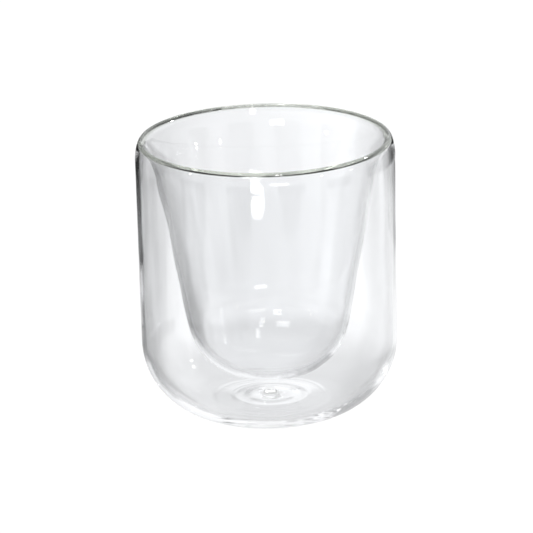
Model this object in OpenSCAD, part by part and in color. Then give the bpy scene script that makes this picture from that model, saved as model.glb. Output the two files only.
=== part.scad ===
// Double walled glass cup.
// A tulip shaped inner bowl hangs in a straight outer shell. A fused bead of glass joins both at the rim
// and closes the air gap, and a small plug seals the vent hole in the base.
// The origin is the centre of the foot, on the surface that the cup stands on.

/* [Outer shell] */
// Outside diameter of the straight wall
body_d = 85; // [76:1:100]
// Height from the foot to the crest of the rim
cup_h = 93; // [84:1:120]
// Thickness of the outer wall
shell_wall = 1.2; // [0.8:0.1:2]
// Thickness of the glass in the base
base_t = 2.2; // [1.5:0.1:3.5]
// Radius of the round between the wall and the foot
corner_r = 24.5; // [18:0.5:28]
// Width of the flat ring that the cup stands on
foot_w = 4; // [2:0.5:6]
// How far the base is pushed up inside the foot ring
punt_h = 1.4; // [1:0.1:2.5]

/* [Inner bowl] */
// Thickness of the bowl's side
bowl_wall = 1.5; // [1:0.1:2.2]
// Thickness of the bowl's lip where it meets the bead
lip_wall = 1.8; // [1.4:0.1:2.2]
// Thickness of the bowl's floor
bowl_floor_t = 2; // [1.2:0.1:3.5]
// Clear height between the base and the underside of the bowl
under_gap = 8.4; // [5:0.2:14]
// Gap between the bowl and the shell at the top of the bowl, without the flare of its lip
side_gap = 4; // [3.2:0.1:5.4]
// How much further the bowl's side draws in by its underside, without the round there
draw_in = 13.3; // [8:0.1:18]
// Height of the round that joins the bowl's floor to its side
bowl_round_h = 24.5; // [18:0.5:32]
// Height over which the lip flares out towards the shell
flare_h = 26.5; // [18:0.5:34]

/* [Rim] */
// Height of the bead of fused glass at the rim
rim_h = 2; // [1.6:0.1:2.6]
// Height of the shoulder that rounds the outer wall in towards the rim
shoulder_h = 7; // [6.5:0.1:10]
// How far the crest of the rim lies inside the outer wall
shoulder_in = 2.1; // [1.5:0.1:3]
// Width of the air gap where it reaches the bead
rim_gap = 0.7; // [0.5:0.1:1.2]
// Height of the arch under the bead, which is the top of the air gap
arch_h = 0.5; // [0.3:0.1:0.8]

/* [Vent] */
// Diameter of the vent hole in the base
vent_d = 3; // [2:0.1:4]
// Diameter of the plug's head, below the base
plug_head_d = 6; // [5:0.1:8]
// Thickness of the plug's head
plug_head_t = 0.8; // [0.4:0.1:0.9]
// Diameter of the plug's barb, above the base
plug_barb_d = 4.6; // [4.2:0.1:6]
// Height of the plug's barb
plug_barb_h = 1.2; // [0.8:0.1:2]
// Clearance between the plug's shank and the vent hole
plug_clear = 0.02; // [0.01:0.01:0.05]

/* [Hidden] */

// Points on each curve of a profile, and sides of a whole turn
curve_steps = 20;
turn_sides = 96;
// Exponent of the round of the bowl's floor: 2 is an ellipse, and more is squarer
bowl_exponent = 3;
// Exponent of the flare of the lip
flare_exponent = 4.2;
// Share of its handles' height that the arch's curve reaches
arch_share = 3 / 4;
// How far a cut runs past the faces that it opens
overrun = 1;

body_r = body_d / 2;
// Radii that the bowl's straight side has at the seam, and would have at its underside
bowl_side_r = body_r - shell_wall - side_gap;
bowl_foot_r = bowl_side_r - draw_in;
foot_r = body_r - corner_r;
punt_r = foot_r - foot_w;
// Flat land round the vent hole, on which the plug's head and barb seat
land_r = plug_head_d / 2 + vent_d / 4;
shoulder_z = cup_h - shoulder_h;
crest_r = body_r - shoulder_in;
// Level where the shell and the bowl end and the bead stands on them
seam_z = cup_h - rim_h;
base_top_z = punt_h + base_t;
bowl_z = base_top_z + under_gap;
bowl_taper = (bowl_side_r - bowl_foot_r) / (seam_z - bowl_z);

// Fractions of a curve's run, from its start to its end
function steps(first = 0) = [for (i = [first : curve_steps]) i / curve_steps];

// Height of the pushed up base over the foot, at radius r
function punt(r) = r < land_r ? punt_h : punt_h * (1 + cos(180 * (r - land_r) / (punt_r - land_r))) / 2;

// Underside of the base from the centre to the foot ring, lifted by a height
function base_line(lift) = concat(
    [[0, punt_h + lift]],
    [for (s = steps()) let (r = land_r + s * (punt_r - land_r)) [r, punt(r) + lift]]);

// Round from the foot ring into the wall, inside the wall by an inset and above the base by a lift
function corner_line(inset, lift) = [for (s = steps())
    [foot_r + (corner_r - inset) * sin(90 * s), corner_r - (corner_r - lift) * cos(90 * s)]];

// Radius of the outside of the shell and the rim, at height z above the round of the base
function outer_r(z) = crest_r + shoulder_in * sqrt(max(0, 1 - pow(max(0, z - shoulder_z) / shoulder_h, 2)));

// Radius of the shell's inner face at height z above the round of the base
function cavity_r(z) = outer_r(z) - shell_wall;

// One face of the shell from the foot of the shoulder up to the seam
function upper_line(inside) = [for (s = steps())
    let (z = shoulder_z + s * (seam_z - shoulder_z)) [inside ? cavity_r(z) : outer_r(z), z]];

// Radius of the bowl's outer face at the seam, and how far it flares there past the bowl's straight side
function lip_r() = cavity_r(seam_z) - rim_gap;
function flare_out() = lip_r() - bowl_side_r;

// Share of the flare that the bowl's side has reached at height z
function flare_at(z) = pow(max(0, z - (seam_z - flare_h)) / flare_h, flare_exponent);

// Radius of one face of the bowl's side at height z, without the round of its floor
function side_r(z, inside) = bowl_foot_r + bowl_taper * (z - bowl_z) + flare_out() * flare_at(z)
    - (inside ? bowl_wall + (lip_wall - bowl_wall) * flare_at(z) : 0);

// Slope of the bowl's side at the seam, which the bead carries on
function lip_slope() = bowl_taper + flare_out() * flare_exponent / flare_h;

// One face of the bowl from the centre of its floor up to the seam
function bowl_line(inside) = let (low = bowl_z + (inside ? bowl_floor_t : 0), high = bowl_z + bowl_round_h)
    concat(
        [for (s = steps()) let (z = high - (high - low) * pow(cos(90 * s), 2 / bowl_exponent))
            [side_r(z, inside) * pow(sin(90 * s), 2 / bowl_exponent), z]],
        [for (s = steps(1)) let (z = high + s * (seam_z - high)) [side_r(z, inside), z]]);

// Inside of the bead from the bowl's lip to the crest, as a curve that leaves both smoothly
function lip_line() = let (start_r = side_r(seam_z, true), knee_r = start_r + lip_slope() * rim_h)
    [for (s = steps()) [
        pow(1 - s, 2) * start_r + 2 * s * (1 - s) * knee_r + s * s * crest_r,
        seam_z + rim_h * (1 - pow(1 - s, 2))]];

// Outside of the bead from the crest down to the seam
function rim_outer_line() = let (fall = acos((seam_z - shoulder_z) / shoulder_h)) [for (s = steps(1))
    [crest_r + shoulder_in * sin(fall * s), shoulder_z + shoulder_h * cos(fall * s)]];

// Arch under the bead, as a cubic curve that carries on the shell's inner face and the bowl's outer face
function arch_line() = let (
        reach = arch_h / arch_share,
        outer = cavity_r(seam_z),
        lean = (outer_r(seam_z) - outer_r(seam_z + arch_h)) / arch_h)
    [for (s = steps()) [
        pow(1 - s, 3) * outer + 3 * s * pow(1 - s, 2) * (outer - lean * reach)
            + 3 * s * s * (1 - s) * (lip_r() + lip_slope() * reach) + pow(s, 3) * lip_r(),
        seam_z + 3 * s * (1 - s) * reach]];

// The points of a line in the opposite order
function reversed(line) = [for (i = [len(line) - 1 : -1 : 0]) line[i]];

// A turned glass piece with a given half section
module turned(section) {
    rotate_extrude($fn = turn_sides) polygon(section);
}

module outer_shell() {
    color([0.9, 0.93, 0.92, 0.35]) difference() {
        turned(concat(
            base_line(0), corner_line(0, 0), upper_line(false),
            reversed(concat(base_line(base_t), corner_line(shell_wall, base_t), upper_line(true)))));
        translate([0, 0, punt_h - overrun]) cylinder(d = vent_d, h = base_t + 2 * overrun, $fn = turn_sides);
    }
}

module inner_bowl() {
    color([0.86, 0.9, 0.92, 0.35])
        turned(concat(bowl_line(false), reversed(bowl_line(true))));
}

module rim_bead() {
    color([0.72, 0.78, 0.72, 0.6]) turned(concat(lip_line(), rim_outer_line(), arch_line()));
}

module vent_plug() {
    shank_d = vent_d - 2 * plug_clear;
    color([0.95, 0.95, 0.94, 0.7]) union() {
        translate([0, 0, punt_h - plug_head_t])
            cylinder(d1 = plug_head_d - plug_head_t, d2 = plug_head_d, h = plug_head_t, $fn = turn_sides);
        translate([0, 0, punt_h]) cylinder(d = shank_d, h = base_t, $fn = turn_sides);
        translate([0, 0, base_top_z])
            cylinder(d1 = plug_barb_d, d2 = shank_d, h = plug_barb_h, $fn = turn_sides);
    }
}

outer_shell();
inner_bowl();
rim_bead();
vent_plug();
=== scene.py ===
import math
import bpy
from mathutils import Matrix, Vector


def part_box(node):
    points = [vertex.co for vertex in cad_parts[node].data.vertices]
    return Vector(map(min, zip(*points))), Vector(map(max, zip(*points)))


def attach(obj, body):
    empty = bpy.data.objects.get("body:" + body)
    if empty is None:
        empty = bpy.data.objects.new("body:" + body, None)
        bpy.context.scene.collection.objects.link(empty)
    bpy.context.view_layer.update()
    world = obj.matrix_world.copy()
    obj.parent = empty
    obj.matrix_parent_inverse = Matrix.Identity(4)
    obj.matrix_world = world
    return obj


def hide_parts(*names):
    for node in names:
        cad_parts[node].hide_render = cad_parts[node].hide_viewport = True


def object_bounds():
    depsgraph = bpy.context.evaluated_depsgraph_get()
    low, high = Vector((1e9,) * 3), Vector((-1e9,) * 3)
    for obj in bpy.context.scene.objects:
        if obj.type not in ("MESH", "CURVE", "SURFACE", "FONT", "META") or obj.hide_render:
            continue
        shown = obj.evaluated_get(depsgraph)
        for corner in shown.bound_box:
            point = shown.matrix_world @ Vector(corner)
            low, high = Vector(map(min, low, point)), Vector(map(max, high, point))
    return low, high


bl_info = {
    "name": "Double Walled Glass Cup",
    "version": (1, 0, 0),
    "blender": (4, 5, 0),
    "location": "View3D > Sidebar > Glass Cup",
    "description": "Builds a clear double walled glass cup and its studio",
    "category": "Add Mesh",
}

import bpy
from bpy.props import FloatProperty, FloatVectorProperty, IntProperty, PointerProperty
from bpy.types import NodeSocket, Operator, Panel, PropertyGroup
from mathutils import Vector

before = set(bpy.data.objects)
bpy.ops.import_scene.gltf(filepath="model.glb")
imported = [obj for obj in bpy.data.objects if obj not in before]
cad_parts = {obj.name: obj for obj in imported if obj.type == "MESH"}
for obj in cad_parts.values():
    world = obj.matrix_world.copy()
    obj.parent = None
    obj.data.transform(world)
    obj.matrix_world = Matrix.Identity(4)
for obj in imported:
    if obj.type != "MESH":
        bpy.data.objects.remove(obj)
cad_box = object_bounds()
shell_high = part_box("outer_shell")[1]
plug_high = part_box("vent_plug")[1]

# Levels of the underside of the bowl, of the seam below the bead, and of the rim's crest
BOWL_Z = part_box("inner_bowl")[0].z
SEAM_Z = shell_high.z
CUP_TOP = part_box("rim_bead")[1].z
CENTRE = (cad_box[0] + cad_box[1]) / 2

# Height of a cubic curve over its ends, as a share of the height of its handles
ARCH_SHARE = 3 / 4
# Points on the round at the lower edge of the plug's head
PLUG_EDGE_STEPS = 6

# How much wider than its half section the plane is that a turned piece starts from
PLANE_MARGIN = 0.001
# Points that are nearer to each other than this are merged
MERGE_DISTANCE = 0.000002
# Edges that are sharper than this stay sharp
SMOOTH_ANGLE = math.radians(40)
# How near a face lies to its level or its radius, and how upright a normal is, to count as found
LEVEL_TOLERANCE = 0.00001
RADIUS_TOLERANCE = 0.00002
FLAT_NORMAL = 0.9
UPRIGHT_NORMAL = 0.1
# Detail of the cloud pattern of the waves
WAVE_DETAIL = 1

# Direction of the camera, round from the cup's right
CAMERA_TURN = -math.pi / 2
MM_PER_M = 1000
WHITE = (1, 1, 1)

# Softboxes, each with its turn from the cup's right and its elevation in degrees, its width and height in
# metres, and its brightness
SOFTBOXES = {
    "front high": (256, 31, 0.35, 0.12, 15),
    "front top": (283, 48, 0.12, 0.3, 25),
    "front low": (281, 3.1, 0.4, 0.04, 20),
    "right front": (320, 14, 0.06, 0.06, 60),
    "right low": (350, 10, 0.06, 0.07, 60),
    "back right high": (32, 38, 0.1, 0.1, 60),
    "left": (200, 18, 0.07, 0.07, 60),
}


# Sizes and looks


def length(name, description, default):
    """A size in metres that the panel shows as a length."""
    return FloatProperty(
        name=name,
        description=description,
        default=default,
        min=0,
        precision=5,
        unit="LENGTH",
        subtype="DISTANCE",
    )


def number(name, description, default):
    """A plain number without a unit."""
    return FloatProperty(name=name, description=description, default=default, precision=4)


def whole(name, description, default, low, high):
    """A whole number within limits."""
    return IntProperty(name=name, description=description, default=default, min=low, max=high)


def angle(name, description, degrees):
    """An angle that the panel shows in degrees."""
    return FloatProperty(name=name, description=description, default=math.radians(degrees), subtype="ANGLE")


def colour(name, description, default):
    """A colour without alpha."""
    return FloatVectorProperty(
        name=name, description=description, default=default, size=3, min=0, max=1, subtype="COLOR"
    )


class ShellSizes(PropertyGroup):
    """Sizes of the outer shell and of the rings in its base"""

    body_r: length("Body radius", "Outside radius of the straight wall", shell_high.y)
    wall: length("Wall", "Thickness of the outer wall", 0.0012)
    base_t: length("Base", "Thickness of the glass in the base", 0.0022)
    corner_r: length("Corner", "Radius of the round between the wall and the foot", 0.0245)
    foot_w: length("Foot", "Width of the flat ring that the cup stands on", 0.004)
    punt_h: length("Punt", "How far the base is pushed up inside the foot ring", 0.0014)
    land_r: length("Land", "Radius of the flat land round the vent hole", 0.00375)
    vent_r: length("Vent", "Radius of the vent hole in the base", 0.0015)
    wave_low: length("Wave start", "Height at which the waves in the blown wall begin", 0.002)
    ripple_h: length("Ripple", "Height of the rings that the lathe leaves in the base's upper face", 0.0001)
    ripple_r: length("Ripple radius", "Radius at which the rings fade out", 0.027)
    ripple_w: length("Ripple width", "Distance from ring to ring", 0.0055)


class BowlSizes(PropertyGroup):
    """Sizes of the inner bowl"""

    wall: length("Wall", "Thickness of the bowl's side", 0.0015)
    lip_wall: length("Lip", "Thickness of the bowl's lip at the seam", 0.0018)
    floor_t: length("Floor", "Thickness of the bowl's floor", 0.002)
    side_gap: length("Side gap", "Gap between the bowl and the shell at the seam, without the flare", 0.004)
    draw_in: length("Draw in", "How much further the bowl's side draws in by its underside", 0.0133)
    round_h: length("Round", "Height of the round between the bowl's floor and its side", 0.0245)
    round_exponent: number("Round exponent", "Exponent of that round: 2 is an ellipse, more is squarer", 3)
    flare_h: length("Flare height", "Height over which the lip flares", 0.0265)
    flare_exponent: number("Flare exponent", "Exponent of the flare of the lip", 4.2)


class RimSizes(PropertyGroup):
    """Sizes of the shoulder and of the bead at the rim"""

    shoulder_h: length("Shoulder", "Height of the shoulder that rounds the wall in towards the rim", 0.007)
    shoulder_in: length("Shoulder inset", "How far the crest of the rim lies inside the outer wall", 0.0021)
    rim_gap: length("Rim gap", "Width of the air gap under the bead", 0.0007)
    arch_h: length("Arch", "Height of the arch under the bead, the top of the air gap", 0.0005)


class PlugSizes(PropertyGroup):
    """Sizes of the plug in the vent hole"""

    head_r: length("Head", "Radius of the plug's head", plug_high.y)
    head_t: length("Head thickness", "Thickness of the plug's head", 0.0008)
    head_edge: length("Head edge", "Radius of the round at the head's lower edge", 0.0003)
    barb_r: length("Barb", "Radius of the plug's barb", 0.0023)
    barb_h: length("Barb height", "Height of the plug's barb", 0.0012)
    clear: length("Clearance", "Clearance between the plug's shank and the vent hole", 0.00002)


class GlassLook(PropertyGroup):
    """Detail, unevenness and colour of the glass, and the finish of the plug"""

    turn_sides: whole("Turn sides", "Sides of a whole turn", 224, 24, 360)
    curve_steps: whole("Curve steps", "Points on each curve", 26, 8, 60)
    ior: number("IOR", "Index of refraction of the borosilicate glass", 1.47)
    slow_size: length("Slow waves", "Size of the slow waves in the blown glass", 0.014)
    slow_stretch: number("Slow stretch", "How many times longer the slow waves are than wide", 2)
    slow_depth: length("Slow depth", "Depth of the slow waves", 0.0001)
    fine_size: length("Fine waves", "Size of the fine waves in the blown glass", 0.003)
    fine_stretch: number("Fine stretch", "How many times longer the fine waves are than wide", 12)
    fine_depth: length("Fine depth", "Depth of the fine waves", 0.00002)
    wave_fade: length("Wave fade", "Height over which the waves fade in and out", 0.004)
    clear_tint: colour("Clear tint", "Colour of light through a face of clear glass", (0.985, 0.987, 0.99))
    rim_tint: colour("Rim tint", "Colour of light through a face of the rim's crest", (0.55, 0.58, 0.52))
    rim_clear_h: length("Rim clear", "Depth below the crest from which the rim is clear", 0.0013)
    rim_tint_h: length("Rim tinted", "Depth below the crest down to which the rim has its whole tint", 0.0006)
    plug_colour: colour("Plug", "Colour of the silicone plug", (0.93, 0.93, 0.92))
    plug_roughness: number("Plug roughness", "Roughness of the silicone's skin", 0.08)
    plug_ior: number("Plug IOR", "Index of refraction of the silicone", 1.41)


class StageLook(PropertyGroup):
    """Camera, floor, lamps, and the light of the studio's walls by direction"""

    camera_distance: length("Camera distance", "Distance from the camera to the cup's centre", 1.011)
    camera_elevation: angle("Camera elevation", "Height of the camera over the horizon", 18.74)
    camera_roll: angle("Camera roll", "Turn of the camera about its own axis", -1.44)
    pixels_per_mm: number("Scale", "Pixels of the photograph per millimetre at the cup's centre", 3.0285)
    photo_side: number("Photo side", "Width and height of the photograph, in pixels", 533)
    centre_x: number("Centre x", "Pixel column of the cup's centre in the photograph", 268.05)
    centre_y: number("Centre y", "Pixel row of the cup's centre in the photograph", 272.2)
    sensor: number("Sensor", "Width of the camera's sensor, in millimetres", 36)
    glass_bounces: whole("Bounces", "Turns that light takes in the glass", 96, 8, 200)
    floor_size: length("Floor", "Side of the floor", 6)
    floor_white: number("Floor white", "Share of the floor that is white whatever light falls on it", 0.8)
    ambient: number("Ambient", "Strength of the even light on things that are not glass", 1)
    wall_colour: colour("Wall colour", "Colour of the studio's walls", (0.98, 0.988, 1))
    bright: number("Bright side", "Strength of the studio's walls where they are brightest", 1.02)
    dim: number("Dim side", "Strength of the studio's walls where they are dimmest", 0.36)
    dim_turn: angle("Dim turn", "Direction of the dimmest wall, round from the cup's right", 131)
    dim_start: number("Dim start", "Cosine of the angle off the dimmest wall where dimming begins", 0.69)
    dim_full: number("Dim full", "Cosine of the angle off the dimmest wall where dimming ends", 0.88)
    front: number("Front", "Strength of the wall behind the camera against the others", 0.72)
    front_start: number("Front start", "Cosine of the angle off the camera where dimming begins", 0.45)
    front_full: number("Front full", "Cosine of the angle off the camera where dimming ends", 0.85)
    card_count: whole("Cards", "Dark cards that stand round the cup", 8, 1, 24)
    card_depth: number("Card depth", "Share of the light that a card takes away", 0.93)
    card_edge: number("Card edge", "Cosine over a card's turn, from 1 to -1, where the card begins", 0.3)
    card_core: number("Card core", "Cosine over a card's turn where the card is fully dark", 0)
    card_narrow: number("Card narrowing", "How much the cosine at a card's edges shifts at its foot", 0.85)
    card_neck: number("Card neck", "Sine of the elevation up to which the cards are narrow", -0.33)
    card_foot: number("Card foot", "Sine of the elevation at which the cards begin", -0.36)
    card_tilt: number("Card tilt", "How much lower the cards stand on the left than on the right", 0.03)
    card_low: number("Card low", "Sine of the elevation from which the cards are fully dark", -0.27)
    card_high: number("Card high", "Sine of the elevation up to which the cards are fully dark", -0.08)
    card_top: number("Card top", "Sine of the elevation at which the cards end", -0.02)
    panel_depth: number("Panel depth", "Share of the light that the panel at the right takes away", 0.95)
    panel_turn: angle("Panel turn", "Direction of the panel, round from the cup's right", 58)
    panel_start: number("Panel start", "Cosine of the angle off the panel's middle where it begins", 0.88)
    panel_full: number("Panel full", "Cosine of the angle off the panel's middle where it is darkest", 0.915)
    panel_foot: number("Panel foot", "Sine of the elevation at which the panel begins", -0.305)
    panel_low: number("Panel low", "Sine of the elevation from which the panel is fully dark", -0.27)
    panel_high: number("Panel high", "Sine of the elevation up to which the panel is fully dark", -0.05)
    panel_top: number("Panel top", "Sine of the elevation at which the panel ends", 0)
    sheet: number("Sheet", "Strength that the pale sheet at the left adds", 0.85)
    sheet_turn: angle("Sheet turn", "Direction of the sheet, round from the cup's right", 183)
    sheet_rise: angle("Sheet rise", "Elevation of the sheet", -23)
    sheet_start: number("Sheet start", "Cosine of the angle off the sheet's middle where it begins", 0.88)
    sheet_full: number("Sheet full", "Cosine of the angle off the sheet's middle where it is brightest", 0.99)
    overhead: number("Overhead", "Strength of the light overhead against the walls", 1.4)
    overhead_low: number("Overhead low", "Sine of the elevation at which the light overhead begins", 0.7)
    overhead_full: number("Overhead full", "Sine of the elevation where the light overhead is strongest", 0.9)
    upper: number("Upper", "Strength of the walls' upper part against their foot", 1.1)
    upper_low: number("Upper low", "Sine of the elevation at which the upper part begins", -0.31)
    upper_high: number("Upper high", "Sine of the elevation at which the upper part is strongest", -0.24)
    under: number("Under", "Strength of the light from under the table's level against the walls'", 0.75)
    under_low: number("Under low", "Sine of the elevation up to which the light from under is full", -0.39)
    under_high: number("Under high", "Sine of the elevation from which the walls' own strength holds", -0.345)
    deep: number("Deep", "Strength of the light from far under against the light from under", 0.85)
    deep_low: number("Deep low", "Sine of the elevation up to which the light from far under is full", -0.7)
    deep_high: number("Deep high", "Sine of the elevation at which the light from far under ends", -0.5)
    below: number("Below", "Strength of the light from straight below against that from far under", 1.1)
    below_low: number("Below low", "Sine of the elevation up to which the light from below is full", -0.86)
    below_high: number("Below high", "Sine of the elevation where the light from straight below ends", -0.76)
    lamp_distance: length("Lamp distance", "Distance from the lamps to the cup's centre", 1.5)


# Half sections, as lists of radius and height


def steps(count, first=0):
    """Fractions of a curve's run, from its start to its end."""
    return [i / count for i in range(first, count + 1)]


def base_top(shell):
    """Level of the base's upper face at the vent hole."""
    return shell.punt_h + shell.base_t


def punt_r(shell):
    """Radius at which the pushed up base meets the foot ring."""
    return shell.body_r - shell.corner_r - shell.foot_w


def punt(shell, radius):
    """Height of the pushed up base over the foot, at a radius."""
    if radius < shell.land_r:
        return shell.punt_h
    share = (radius - shell.land_r) / (punt_r(shell) - shell.land_r)
    return shell.punt_h * (1 + math.cos(math.pi * share)) / 2


def ripple(shell, radius):
    """Height of the rings left by the lathe at a radius, which fade in and out."""
    share = min(1, max(0, (radius - shell.land_r) / (shell.ripple_r - shell.land_r)))
    beat = math.cos(2 * math.pi * (radius - shell.land_r) / shell.ripple_w)
    return shell.ripple_h * math.sin(math.pi * share) * beat


def base_line(shell, contact_r, count, inside):
    """One face of the base from the vent hole, past the edge of the plug there, to the foot ring."""
    lift = inside * shell.base_t
    line = [(shell.vent_r, shell.punt_h + lift), (contact_r, shell.punt_h + lift)]
    for s in steps(2 * count):
        r = shell.land_r + s * (punt_r(shell) - shell.land_r)
        line.append((r, punt(shell, r) + lift + inside * ripple(shell, r)))
    return line


def corner_line(shell, count, inside):
    """One face of the round from the foot ring into the wall."""
    foot_r = shell.body_r - shell.corner_r
    line = []
    for s in steps(count):
        turn = s * math.pi / 2
        r = foot_r + (shell.corner_r - inside * shell.wall) * math.sin(turn)
        drop = (shell.corner_r - inside * shell.base_t) * math.cos(turn)
        line.append((r, shell.corner_r - drop + inside * ripple(shell, r)))
    return line


def outer_r(shell, rim, height):
    """Radius of the outside of the shell and the rim, at a height above the round of the base."""
    rise = max(0, height - (CUP_TOP - rim.shoulder_h)) / rim.shoulder_h
    return shell.body_r - rim.shoulder_in * (1 - math.sqrt(max(0, 1 - rise * rise)))


def upper_wall(shell, rim, count, inside):
    """One face of the wall from the round of the base up to the seam."""
    low, middle = shell.corner_r, CUP_TOP - rim.shoulder_h
    heights = [low + s * (middle - low) for s in steps(2 * count, 1)]
    heights += [middle + s * (SEAM_Z - middle) for s in steps(count, 1)]
    return [(outer_r(shell, rim, z) - inside * shell.wall, z) for z in heights]


def shell_line(shell, rim, contact_r, count, inside):
    """One face of the shell from the edge of the vent hole up to the seam."""
    low = base_line(shell, contact_r, count, inside) + corner_line(shell, 2 * count, inside)
    return low + upper_wall(shell, rim, count, inside)


def cavity_r(shell, rim, height):
    """Radius of the shell's inner face at a height above the round of the base."""
    return outer_r(shell, rim, height) - shell.wall


def lip_r(shell, rim):
    """Radius of the bowl's outer face at the seam."""
    return cavity_r(shell, rim, SEAM_Z) - rim.rim_gap


def straight_r(shell, bowl):
    """Radius that the bowl's side would have at the seam without its flare."""
    return shell.body_r - shell.wall - bowl.side_gap


def side_r(shell, bowl, rim, height, inside):
    """Radius of one face of the bowl's side at a height, without the round of its floor."""
    seam_r = straight_r(shell, bowl)
    foot_r = seam_r - bowl.draw_in
    share = (height - BOWL_Z) / (SEAM_Z - BOWL_Z)
    flare = (max(0, height - (SEAM_Z - bowl.flare_h)) / bowl.flare_h) ** bowl.flare_exponent
    outer = foot_r + (seam_r - foot_r) * share + (lip_r(shell, rim) - seam_r) * flare
    return outer - inside * (bowl.wall + (bowl.lip_wall - bowl.wall) * flare)


def bowl_line(shell, bowl, rim, count, inside):
    """One face of the bowl from the centre of its floor up to the seam."""
    low = BOWL_Z + inside * bowl.floor_t
    high = BOWL_Z + bowl.round_h
    power = 2 / bowl.round_exponent
    line = []
    for s in steps(2 * count):
        turn = s * math.pi / 2
        z = high - (high - low) * max(0, math.cos(turn)) ** power
        line.append((side_r(shell, bowl, rim, z, inside) * math.sin(turn) ** power, z))
    for s in steps(2 * count, 1):
        z = high + s * (SEAM_Z - high)
        line.append((side_r(shell, bowl, rim, z, inside), z))
    return line


def lip_slope(shell, bowl, rim):
    """Slope of the bowl's side at the seam, which the bead carries on."""
    flare_out = lip_r(shell, rim) - straight_r(shell, bowl)
    return bowl.draw_in / (SEAM_Z - BOWL_Z) + flare_out * bowl.flare_exponent / bowl.flare_h


def lip_line(shell, bowl, rim, count):
    """Inside of the bead from the bowl's lip to the crest, as a curve that leaves both smoothly."""
    start_r = side_r(shell, bowl, rim, SEAM_Z, inside=1)
    rim_h = CUP_TOP - SEAM_Z
    knee_r = start_r + lip_slope(shell, bowl, rim) * rim_h
    crest_r = shell.body_r - rim.shoulder_in
    line = []
    for s in steps(count):
        r = (1 - s) ** 2 * start_r + 2 * s * (1 - s) * knee_r + s * s * crest_r
        line.append((r, SEAM_Z + rim_h * (1 - (1 - s) ** 2)))
    return line


def rim_outer_line(shell, rim, count):
    """Outside of the bead from the crest down to the seam."""
    shoulder_z = CUP_TOP - rim.shoulder_h
    crest_r = shell.body_r - rim.shoulder_in
    fall = math.acos((SEAM_Z - shoulder_z) / rim.shoulder_h)
    return [
        (crest_r + rim.shoulder_in * math.sin(fall * s), shoulder_z + rim.shoulder_h * math.cos(fall * s))
        for s in steps(count, 1)
    ]


def curve_point(handles, s):
    """A point on a cubic curve with four handles, at a fraction of its run."""
    shares = ((1 - s) ** 3, 3 * s * (1 - s) ** 2, 3 * s * s * (1 - s), s**3)
    return tuple(sum(w * h[i] for w, h in zip(shares, handles)) for i in (0, 1))


def arch_line(shell, bowl, rim, count):
    """The arch under the bead, which carries on the shell's inner face and the bowl's outer face."""
    reach = rim.arch_h / ARCH_SHARE
    outer = cavity_r(shell, rim, SEAM_Z)
    inner = lip_r(shell, rim)
    lean = (outer_r(shell, rim, SEAM_Z) - outer_r(shell, rim, SEAM_Z + rim.arch_h)) / rim.arch_h
    handles = (
        (outer, SEAM_Z),
        (outer - lean * reach, SEAM_Z + reach),
        (inner + lip_slope(shell, bowl, rim) * reach, SEAM_Z + reach),
        (inner, SEAM_Z),
    )
    return [curve_point(handles, s) for s in steps(count)]


def plug_line(shell, plug):
    """The plug from the centre of its head's underside to the centre of its barb's tip."""
    shank_r = shell.vent_r - plug.clear
    head_low = shell.punt_h - plug.head_t
    line = [(0, head_low)]
    for s in steps(PLUG_EDGE_STEPS):
        turn = s * math.pi / 2
        r = plug.head_r - plug.head_edge * (1 - math.sin(turn))
        line.append((r, head_low + plug.head_edge * (1 - math.cos(turn))))
    line += [(plug.head_r, shell.punt_h), (shank_r, shell.punt_h)]
    line += [(shank_r, base_top(shell)), (plug.barb_r, base_top(shell))]
    tip = base_top(shell) + plug.barb_h
    return line + [(shank_r, tip), (0, tip)]


# Modelling


def start_edit():
    """Goes into edit mode with everything selected, in vertex mode."""
    bpy.ops.object.mode_set(mode="EDIT")
    bpy.ops.mesh.select_mode(type="VERT")
    bpy.ops.mesh.select_all(action="SELECT")


def turned(name, section, sides, closed):
    """Turns a half section about the axis of the cup, as on a glass lathe, and returns the piece."""
    start_r, start_z = section[0]
    bpy.ops.object.select_all(action="DESELECT")
    bpy.ops.mesh.primitive_plane_add(size=2 * (start_r + PLANE_MARGIN), location=(0, 0, 0))
    piece = bpy.context.object
    piece.name = name
    piece.data.name = name
    start_edit()
    bpy.ops.mesh.merge(type="CENTER")
    bpy.ops.transform.translate(value=(start_r, 0, start_z))
    run = section + section[:1] if closed else section
    for (r0, z0), (r1, z1) in zip(run, run[1:]):
        bpy.ops.mesh.extrude_vertices_move(TRANSFORM_OT_translate={"value": (r1 - r0, 0, z1 - z0)})
    bpy.ops.mesh.select_all(action="SELECT")
    bpy.ops.mesh.spin(steps=sides, angle=2 * math.pi, center=(0, 0, 0), axis=(0, 0, 1))
    bpy.ops.mesh.select_all(action="SELECT")
    bpy.ops.mesh.remove_doubles(threshold=MERGE_DISTANCE)
    bpy.ops.mesh.normals_make_consistent(inside=False)
    bpy.ops.object.mode_set(mode="OBJECT")
    bpy.ops.object.shade_smooth_by_angle(angle=SMOOTH_ANGLE)
    return piece


def flat_at(height, reach):
    """A test for the flat faces at a height, within a radius."""
    return lambda face: (
        abs(face.center.z - height) < LEVEL_TOLERANCE
        and abs(face.normal.z) > FLAT_NORMAL
        and face.center.xy.length < reach
    )


def upright_at(radius):
    """A test for the upright faces of a narrow shank or hole, at a radius."""
    return lambda face: (
        abs(face.center.xy.length - radius) < RADIUS_TOLERANCE and abs(face.normal.z) < UPRIGHT_NORMAL
    )


def plug_seats(shell, plug):
    """Tests for the faces of the base, or of the plug, where the plug's head and barb seat."""
    return flat_at(shell.punt_h, plug.head_r), flat_at(base_top(shell), plug.barb_r)


def mark_joined(piece, *tests):
    """Gives the faces where two pieces are melted or pressed together a finish that shows nothing."""
    joined = len(piece.data.materials)
    piece.data.materials.append(joined_face())
    for face in piece.data.polygons:
        if any(test(face) for test in tests):
            face.material_index = joined


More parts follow.
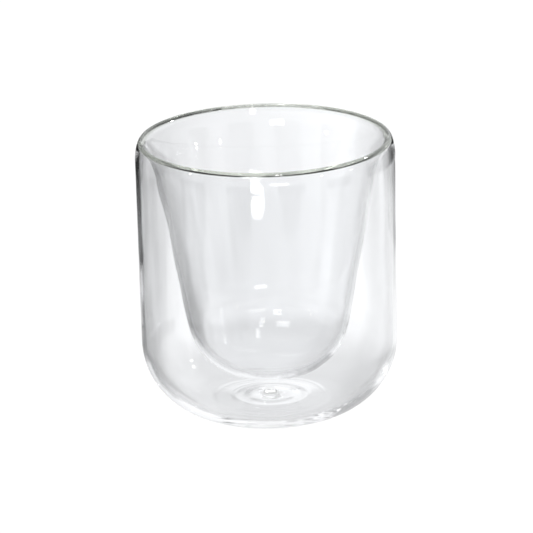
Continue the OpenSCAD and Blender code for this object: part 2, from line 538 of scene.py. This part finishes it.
def stretched_noise(name, size, stretch):
    """A cloud pattern for a Displace modifier, with the empty that stretches it along the cup's axis."""
    clouds = bpy.data.textures.new(name, type="CLOUDS")
    clouds.noise_scale = size
    clouds.noise_depth = WAVE_DETAIL
    bpy.ops.object.empty_add(location=(0, 0, 0))
    empty = bpy.context.object
    empty.scale = (1, 1, stretch)
    return clouds, empty


def wave(piece, name, size, stretch, depth, low, high, fade):
    """Moves the faces of a piece in and out a little between two heights."""
    clouds, empty = stretched_noise(name, size, stretch)
    group = piece.vertex_groups.new(name=name)
    for vertex in piece.data.vertices:
        height = vertex.co.z
        group.add([vertex.index], max(0, min(1, (height - low) / fade, (high - height) / fade)), "REPLACE")
    bpy.context.view_layer.objects.active = piece
    waves = piece.modifiers.new(name, "DISPLACE")
    waves.texture = clouds
    waves.texture_coords = "OBJECT"
    waves.texture_coords_object = empty
    waves.vertex_group = name
    waves.mid_level = 0.5
    waves.strength = depth
    bpy.ops.object.modifier_apply(modifier=name)
    piece.vertex_groups.clear()
    bpy.data.objects.remove(empty)


def add_waves(piece, look, low):
    """Makes a piece slightly uneven from a height up to the seam, as blown glass is never quite even."""
    high = SEAM_Z - look.wave_fade
    wave(piece, "slow waves", look.slow_size, look.slow_stretch, look.slow_depth, low, high, look.wave_fade)
    wave(piece, "fine waves", look.fine_size, look.fine_stretch, look.fine_depth, low, high, look.wave_fade)


# Shader nodes


def calculation(tree, operation, first, second=0.0, third=0.0):
    """A Math node on sockets or numbers, which returns its output."""
    node = tree.nodes.new("ShaderNodeMath")
    node.operation = operation
    for socket, value in zip(node.inputs, (first, second, third)):
        if isinstance(value, NodeSocket):
            tree.links.new(value, socket)
        else:
            socket.default_value = value
    return node.outputs["Value"]


def product(tree, first, *others):
    """The product of sockets or numbers, as a chain of Math nodes."""
    for other in others:
        first = calculation(tree, "MULTIPLY", first, other)
    return first


def ramp(tree, value, low, high, at_low=0.0, at_high=1.0):
    """A smooth ramp of a value between two marks, from one result to another."""
    node = tree.nodes.new("ShaderNodeMapRange")
    node.interpolation_type = "SMOOTHSTEP"
    tree.links.new(value, node.inputs["Value"])
    for name, mark in zip(("From Min", "From Max", "To Min", "To Max"), (low, high, at_low, at_high)):
        node.inputs[name].default_value = mark
    return node.outputs["Result"]


def coordinates(tree, kind):
    """The X, Y and Z sockets of one kind of texture coordinates."""
    split = tree.nodes.new("ShaderNodeSeparateXYZ")
    tree.links.new(tree.nodes.new("ShaderNodeTexCoord").outputs[kind], split.inputs["Vector"])
    return [split.outputs[axis] for axis in "XYZ"]


def mixed(tree, share, first, second):
    """A Mix Shader node between two shader nodes, by a socket."""
    node = tree.nodes.new("ShaderNodeMixShader")
    tree.links.new(share, node.inputs["Fac"])
    tree.links.new(first.outputs[0], node.inputs[1])
    tree.links.new(second.outputs[0], node.inputs[2])
    return node


# Materials


def new_material(name):
    """An empty node material, with its node tree and its output."""
    material = bpy.data.materials.new(name)
    material.use_nodes = True
    tree = material.node_tree
    tree.nodes.clear()
    return material, tree, tree.nodes.new("ShaderNodeOutputMaterial")


def see_through(tree, tint, roughness, ior):
    """A Principled node for a material that light passes through."""
    node = tree.nodes.new("ShaderNodeBsdfPrincipled")
    node.inputs["Base Color"].default_value = (*tint, 1)
    node.inputs["Roughness"].default_value = roughness
    node.inputs["IOR"].default_value = ior
    node.inputs["Transmission Weight"].default_value = 1
    return node


def clear_glass(name, tint, ior):
    """Clear borosilicate glass that lets the lamps through to what is behind it."""
    material, tree, output = new_material(name)
    glass = see_through(tree, tint, 0, ior)
    passing = tree.nodes.new("ShaderNodeBsdfTransparent")
    passing.inputs["Color"].default_value = (*tint, 1)
    path = tree.nodes.new("ShaderNodeLightPath")
    surface = mixed(tree, path.outputs["Is Shadow Ray"], glass, passing)
    tree.links.new(surface.outputs["Shader"], output.inputs["Surface"])
    return material


def rim_glass(look):
    """Clear glass that turns greenish grey at the crest, where light has run far inside it."""
    material = clear_glass("rim glass", look.clear_tint, look.ior)
    tree = material.node_tree
    height = coordinates(tree, "Object")[2]
    tint = tree.nodes.new("ShaderNodeMix")
    tint.data_type = "RGBA"
    tint.inputs["A"].default_value = (*look.clear_tint, 1)
    tint.inputs["B"].default_value = (*look.rim_tint, 1)
    share = ramp(tree, height, CUP_TOP - look.rim_clear_h, CUP_TOP - look.rim_tint_h)
    tree.links.new(share, tint.inputs["Factor"])
    tree.links.new(tint.outputs["Result"], tree.nodes["Principled BSDF"].inputs["Base Color"])
    tree.links.new(tint.outputs["Result"], tree.nodes["Transparent BSDF"].inputs["Color"])
    return material


def joined_face():
    """The face where two pieces are melted or pressed together, which shows nothing."""
    material, tree, output = new_material("joined face")
    passing = tree.nodes.new("ShaderNodeBsdfTransparent")
    tree.links.new(passing.outputs["BSDF"], output.inputs["Surface"])
    return material


def silicone(look):
    """Translucent silicone with a satin skin."""
    material, tree, output = new_material("translucent silicone")
    rubber = see_through(tree, look.plug_colour, look.plug_roughness, look.plug_ior)
    tree.links.new(rubber.outputs["BSDF"], output.inputs["Surface"])
    return material


# Pieces


class GLASSCUP_OT_outer_shell(Operator):
    """Turns the outer shell with its base, its vent hole and its shoulder"""

    bl_idname = "glass_cup.outer_shell"
    bl_label = "Outer Shell"
    bl_options = {"REGISTER", "UNDO"}

    def execute(self, context):
        scene = context.scene
        shell, rim, plug, look = scene.cup_shell, scene.cup_rim, scene.cup_plug, scene.cup_glass
        outside = shell_line(shell, rim, plug.head_r, look.curve_steps, inside=0)
        inside = shell_line(shell, rim, plug.barb_r, look.curve_steps, inside=1)
        piece = turned("outer_shell_glass", outside + inside[::-1], look.turn_sides, closed=True)
        add_waves(piece, look, shell.wave_low)
        piece.data.materials.append(clear_glass("clear shell glass", look.clear_tint, look.ior))
        seam = flat_at(SEAM_Z, shell.body_r)
        mark_joined(piece, seam, upright_at(shell.vent_r), *plug_seats(shell, plug))
        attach(piece, "root")
        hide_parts("outer_shell")
        return {"FINISHED"}


class GLASSCUP_OT_inner_bowl(Operator):
    """Turns the bowl that holds the drink, with its flared lip"""

    bl_idname = "glass_cup.inner_bowl"
    bl_label = "Inner Bowl"
    bl_options = {"REGISTER", "UNDO"}

    def execute(self, context):
        scene = context.scene
        shell, bowl, rim, look = scene.cup_shell, scene.cup_bowl, scene.cup_rim, scene.cup_glass
        outside = bowl_line(shell, bowl, rim, look.curve_steps, inside=0)
        inside = bowl_line(shell, bowl, rim, look.curve_steps, inside=1)
        piece = turned("inner_bowl_glass", outside + inside[::-1], look.turn_sides, closed=False)
        add_waves(piece, look, BOWL_Z - look.wave_fade)
        piece.data.materials.append(clear_glass("clear bowl glass", look.clear_tint, look.ior))
        mark_joined(piece, flat_at(SEAM_Z, shell.body_r))
        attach(piece, "root")
        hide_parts("inner_bowl")
        return {"FINISHED"}


class GLASSCUP_OT_rim_bead(Operator):
    """Turns the fire polished bead that joins the bowl to the shell"""

    bl_idname = "glass_cup.rim_bead"
    bl_label = "Rim Bead"
    bl_options = {"REGISTER", "UNDO"}

    def execute(self, context):
        scene = context.scene
        shell, bowl, rim, look = scene.cup_shell, scene.cup_bowl, scene.cup_rim, scene.cup_glass
        count = look.curve_steps
        section = lip_line(shell, bowl, rim, count) + rim_outer_line(shell, rim, count)
        section += arch_line(shell, bowl, rim, count)
        piece = turned("rim_bead_glass", section, look.turn_sides, closed=True)
        piece.data.materials.append(rim_glass(look))
        mark_joined(piece, flat_at(SEAM_Z, shell.body_r))
        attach(piece, "root")
        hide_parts("rim_bead")
        return {"FINISHED"}


class GLASSCUP_OT_vent_plug(Operator):
    """Turns the small silicone plug that seals the vent hole"""

    bl_idname = "glass_cup.vent_plug"
    bl_label = "Vent Plug"
    bl_options = {"REGISTER", "UNDO"}

    def execute(self, context):
        scene = context.scene
        shell, plug, look = scene.cup_shell, scene.cup_plug, scene.cup_glass
        piece = turned("vent_plug_silicone", plug_line(shell, plug), look.turn_sides // 2, closed=False)
        piece.data.materials.append(silicone(look))
        mark_joined(piece, upright_at(shell.vent_r - plug.clear), *plug_seats(shell, plug))
        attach(piece, "root")
        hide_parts("vent_plug")
        return {"FINISHED"}


# Stage


def facing(tree, axes, turn, rise=0.0):
    """How far a direction faces a turn from the cup's right and a rise, from 1 down to -1."""
    x, y, z = axes
    level = math.cos(rise)
    share = calculation(tree, "MULTIPLY", x, level * math.cos(turn))
    share = calculation(tree, "MULTIPLY_ADD", y, level * math.sin(turn), share)
    return calculation(tree, "MULTIPLY_ADD", z, math.sin(rise), share)


def side_walls(tree, stage, axes):
    """Strength of the walls all round, dimmer on one side and behind the camera."""
    to_dim = facing(tree, axes, stage.dim_turn)
    to_camera = facing(tree, axes, CAMERA_TURN)
    walls = ramp(tree, to_dim, stage.dim_start, stage.dim_full, stage.bright, stage.dim)
    return product(tree, walls, ramp(tree, to_camera, stage.front_start, stage.front_full, 1, stage.front))


def by_elevation(tree, stage, z):
    """Strength of the light from overhead, from the walls' upper part and from under the table's level."""
    bands = (
        (stage.overhead_low, stage.overhead_full, 1, stage.overhead),
        (stage.upper_low, stage.upper_high, 1, stage.upper),
        (stage.under_low, stage.under_high, stage.under, 1),
        (stage.deep_low, stage.deep_high, stage.deep, 1),
        (stage.below_low, stage.below_high, stage.below, 1),
    )
    return product(tree, *(ramp(tree, z, *band) for band in bands))


def dark_cards(tree, stage, axes):
    """Share of the light taken away by the dark cards, which stand round the cup and narrow to their feet."""
    x, y, z = axes
    turn = calculation(tree, "ARCTAN2", y, x)
    beat = calculation(tree, "COSINE", product(tree, turn, stage.card_count))
    height = calculation(tree, "MULTIPLY_ADD", x, -stage.card_tilt, z)
    narrowing = ramp(tree, height, stage.card_neck, stage.card_low, stage.card_narrow, 0)
    across = calculation(tree, "ADD", beat, narrowing)
    return product(
        tree,
        ramp(tree, across, stage.card_core, stage.card_edge, stage.card_depth, 0),
        ramp(tree, height, stage.card_foot, stage.card_low),
        ramp(tree, z, stage.card_high, stage.card_top, 1, 0),
    )


def dark_panel(tree, stage, axes):
    """Share of the light taken away by the dark panel at the right, behind the cup."""
    across, z = facing(tree, axes, stage.panel_turn), axes[2]
    return product(
        tree,
        ramp(tree, across, stage.panel_start, stage.panel_full, 0, stage.panel_depth),
        ramp(tree, z, stage.panel_foot, stage.panel_low),
        ramp(tree, z, stage.panel_high, stage.panel_top, 1, 0),
    )


def pale_sheet(tree, stage, axes):
    """Strength that the pale sheet at the cup's left adds."""
    to_sheet = facing(tree, axes, stage.sheet_turn, stage.sheet_rise)
    return ramp(tree, to_sheet, stage.sheet_start, stage.sheet_full, 0, stage.sheet)


def wall_light(tree, stage):
    """Strength of the studio's walls by direction, with all that stands in front of them."""
    axes = coordinates(tree, "Generated")
    dark = calculation(tree, "MAXIMUM", dark_cards(tree, stage, axes), dark_panel(tree, stage, axes))
    left_over = calculation(tree, "SUBTRACT", 1, dark)
    room = product(tree, side_walls(tree, stage, axes), left_over, by_elevation(tree, stage, axes[2]))
    return calculation(tree, "ADD", room, pale_sheet(tree, stage, axes))


def background(tree, tint):
    """A Background node of a colour."""
    node = tree.nodes.new("ShaderNodeBackground")
    node.inputs["Color"].default_value = (*tint, 1)
    return node


def studio_world(stage):
    """White for the camera, the studio's walls for the glass, and even light for everything else."""
    world = bpy.data.worlds.new("studio")
    bpy.context.scene.world = world
    world.use_nodes = True
    tree = world.node_tree
    tree.nodes.clear()
    output = tree.nodes.new("ShaderNodeOutputWorld")
    walls, even, white = background(tree, stage.wall_colour), background(tree, WHITE), background(tree, WHITE)
    tree.links.new(wall_light(tree, stage), walls.inputs["Strength"])
    even.inputs["Strength"].default_value = stage.ambient
    ray = tree.nodes.new("ShaderNodeLightPath").outputs
    through_glass = calculation(tree, "MAXIMUM", ray["Is Transmission Ray"], ray["Is Glossy Ray"])
    lit = mixed(tree, through_glass, even, walls)
    seen = mixed(tree, ray["Is Camera Ray"], lit, white)
    tree.links.new(seen.outputs["Shader"], output.inputs["Surface"])


def floor_finish(stage):
    """Pale floor: white to the camera, apart from the shadow of the cup."""
    material, tree, output = new_material("pale floor")
    matt = tree.nodes.new("ShaderNodeBsdfDiffuse")
    matt.inputs["Color"].default_value = (*WHITE, 1)
    white = tree.nodes.new("ShaderNodeEmission")
    path = tree.nodes.new("ShaderNodeLightPath")
    surface = mixed(tree, product(tree, path.outputs["Is Camera Ray"], stage.floor_white), matt, white)
    tree.links.new(surface.outputs["Shader"], output.inputs["Surface"])
    return material


def add_floor(stage):
    """The floor, which the glass does not see: it sees the studio's walls."""
    bpy.ops.object.select_all(action="DESELECT")
    bpy.ops.mesh.primitive_plane_add(size=stage.floor_size, location=(0, 0, 0))
    floor = bpy.context.object
    floor.name = "studio_floor"
    floor.data.materials.append(floor_finish(stage))
    floor.visible_transmission = False
    floor.visible_glossy = False


def add_softboxes(stage):
    """Small softboxes round the cup, whose reflections are the highlights in the glass."""
    for name, (turn, rise, width, height, glow) in SOFTBOXES.items():
        turn, rise = math.radians(turn), math.radians(rise)
        away = Vector((math.cos(rise) * math.cos(turn), math.cos(rise) * math.sin(turn), math.sin(rise)))
        bpy.ops.object.light_add(type="AREA", location=CENTRE + away * stage.lamp_distance)
        lamp = bpy.context.object
        lamp.name = "softbox_" + name
        lamp.rotation_euler = away.to_track_quat("Z", "Y").to_euler()
        lamp.data.shape = "RECTANGLE"
        lamp.data.size, lamp.data.size_y = width, height
        lamp.data.energy = glow * math.pi * width * height
        lamp.visible_camera = False


def add_camera(stage):
    """A long lens at the photograph's viewing angle, framed by the pixel of the cup's centre."""
    bpy.ops.object.camera_add(location=(0, 0, 0))
    camera = bpy.context.object
    camera.name = "studio_camera"
    bpy.context.scene.camera = camera
    away = Vector((0, -math.cos(stage.camera_elevation), math.sin(stage.camera_elevation)))
    camera.location = CENTRE + away * stage.camera_distance
    camera.rotation_mode = "ZYX"
    camera.rotation_euler = (math.pi / 2 - stage.camera_elevation, 0, stage.camera_roll)
    half = stage.photo_side / 2
    pixels_per_m = stage.pixels_per_mm * MM_PER_M
    camera.data.sensor_width = stage.sensor
    camera.data.lens = stage.sensor * pixels_per_m * stage.camera_distance / stage.photo_side
    camera.data.shift_x = (half - stage.centre_x) / stage.photo_side
    camera.data.shift_y = (stage.centre_y - half) / stage.photo_side


class GLASSCUP_OT_studio(Operator):
    """Sets up the floor, the light and the camera"""

    bl_idname = "glass_cup.studio"
    bl_label = "Studio"
    bl_options = {"REGISTER", "UNDO"}

    def execute(self, context):
        scene = context.scene
        stage = scene.cup_stage
        studio_world(stage)
        add_floor(stage)
        add_softboxes(stage)
        add_camera(stage)
        scene.view_settings.view_transform = "Standard"
        scene.cycles.max_bounces = stage.glass_bounces
        scene.cycles.transmission_bounces = stage.glass_bounces
        scene.cycles.glossy_bounces = stage.glass_bounces
        scene.cycles.transparent_max_bounces = stage.glass_bounces
        return {"FINISHED"}


class GLASSCUP_PT_panel(Panel):
    """Lists the pieces of the cup and the studio, each with its button"""

    bl_idname = "GLASSCUP_PT_panel"
    bl_label = "Glass Cup"
    bl_space_type = "VIEW_3D"
    bl_region_type = "UI"
    bl_category = "Glass Cup"

    def draw(self, context):
        for operator in OPERATORS:
            self.layout.operator(operator.bl_idname)


OPERATORS = (
    GLASSCUP_OT_outer_shell,
    GLASSCUP_OT_inner_bowl,
    GLASSCUP_OT_rim_bead,
    GLASSCUP_OT_vent_plug,
    GLASSCUP_OT_studio,
)
GROUPS = {
    "cup_shell": ShellSizes,
    "cup_bowl": BowlSizes,
    "cup_rim": RimSizes,
    "cup_plug": PlugSizes,
    "cup_glass": GlassLook,
    "cup_stage": StageLook,
}


def register():
    """Adds the groups of sizes to the scene, then the operators and the panel."""
    for name, group in GROUPS.items():
        bpy.utils.register_class(group)
        setattr(bpy.types.Scene, name, PointerProperty(type=group))
    for cls in (*OPERATORS, GLASSCUP_PT_panel):
        bpy.utils.register_class(cls)


def unregister():
    """Takes away again all that register adds."""
    for cls in (GLASSCUP_PT_panel, *reversed(OPERATORS)):
        bpy.utils.unregister_class(cls)
    for name, group in reversed(GROUPS.items()):
        delattr(bpy.types.Scene, name)
        bpy.utils.unregister_class(group)


def main():
    """Builds the cup and its studio."""
    register()
    bpy.ops.glass_cup.outer_shell()
    bpy.ops.glass_cup.inner_bowl()
    bpy.ops.glass_cup.rim_bead()
    bpy.ops.glass_cup.vent_plug()
    bpy.ops.glass_cup.studio()


if __name__ == "__main__":
    main()
